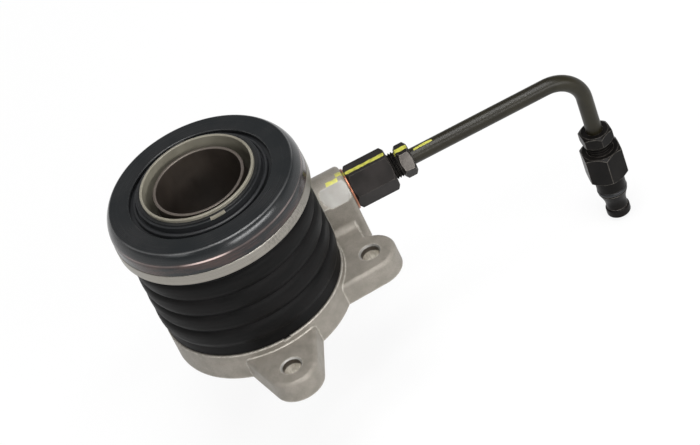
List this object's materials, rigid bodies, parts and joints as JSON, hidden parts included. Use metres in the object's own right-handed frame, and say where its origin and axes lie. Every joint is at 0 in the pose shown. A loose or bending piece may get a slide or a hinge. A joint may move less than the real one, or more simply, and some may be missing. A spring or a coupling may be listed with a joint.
{
  "type": "clutch release bearing",
  "caption": "Clutch release bearing on a concentric slave cylinder, with rubber dust boot, cast housing with screw ears, and a bent steel pressure pipe with fittings.",
  "frame": {"origin": "on the bore axis at the gearbox face of the housing", "axes": "+Z along the bore towards the clutch, +X along the pressure pipe"},
  "size_m": [0.1766, 0.1026, 0.1172],
  "materials": {
    "cast_aluminium": "as cast, fine grained, ear faces machined",
    "tube_steel": "drawn, oiled",
    "spring_steel": "satin",
    "ground_steel": "ground, bright",
    "black_steel": "blackened, smooth, glossy",
    "bearing_steel": "polished",
    "nose_plastic": "off-white moulded",
    "cage_plastic": "dark moulded",
    "seal_rubber": "smooth",
    "boot_rubber": "matt, slightly dusty",
    "copper": "soft copper",
    "black_fitting": "black plated hexagon bar",
    "coated_pipe": "olive-brown plated and coated steel"
  },
  "bodies": {
    "housing": {"cylinder_housing": "cast_aluminium", "guide_tube": "tube_steel", "stop_ring": "spring_steel", "tube_seal": "seal_rubber", "wiper_seal": "seal_rubber", "preload_spring": "spring_steel", "dust_boot": "boot_rubber", "copper_washer": "copper", "port_adaptor": "black_fitting", "port_pipe_nut": "black_fitting", "pressure_pipe": "coated_pipe", "line_pipe_nut": "black_fitting", "line_adaptor": "black_fitting", "line_seal": "seal_rubber"},
    "piston_group": {"piston": "nose_plastic", "piston_seal": "seal_rubber", "bearing_carrier": "black_steel", "centring_washer": "spring_steel", "retaining_clip": "spring_steel", "bearing_inner_ring": "bearing_steel", "front_shield": "seal_rubber"},
    "thrust_ring": {"bearing_outer_ring": "ground_steel", "thrust_cover": "black_steel", "rear_seal": "seal_rubber"},
    "ball_set": {"bearing_cage": "cage_plastic", "bearing_balls": "bearing_steel"}
  },
  "joints": [
    {"name": "release_stroke", "type": "slide", "parent": "housing", "child": "piston_group", "axis": [0, 0, 1], "range_m": [-0.016, 0], "stiffness_N_per_m": 1500, "springref_m": 0.02, "deforming": ["dust_boot", "preload_spring"]},
    {"name": "thrust_spin", "type": "hinge", "parent": "piston_group", "child": "thrust_ring", "pos_m": [0, 0, 0.05535], "axis": [0, 0, 1], "continuous": true},
    {"name": "cage_spin", "type": "hinge", "parent": "piston_group", "child": "ball_set", "pos_m": [0, 0, 0.05535], "axis": [0, 0, 1], "continuous": true}
  ],
  "couplings": [
    {"joint": "cage_spin", "follows": "thrust_spin", "ratio": 0.5512}
  ]
}
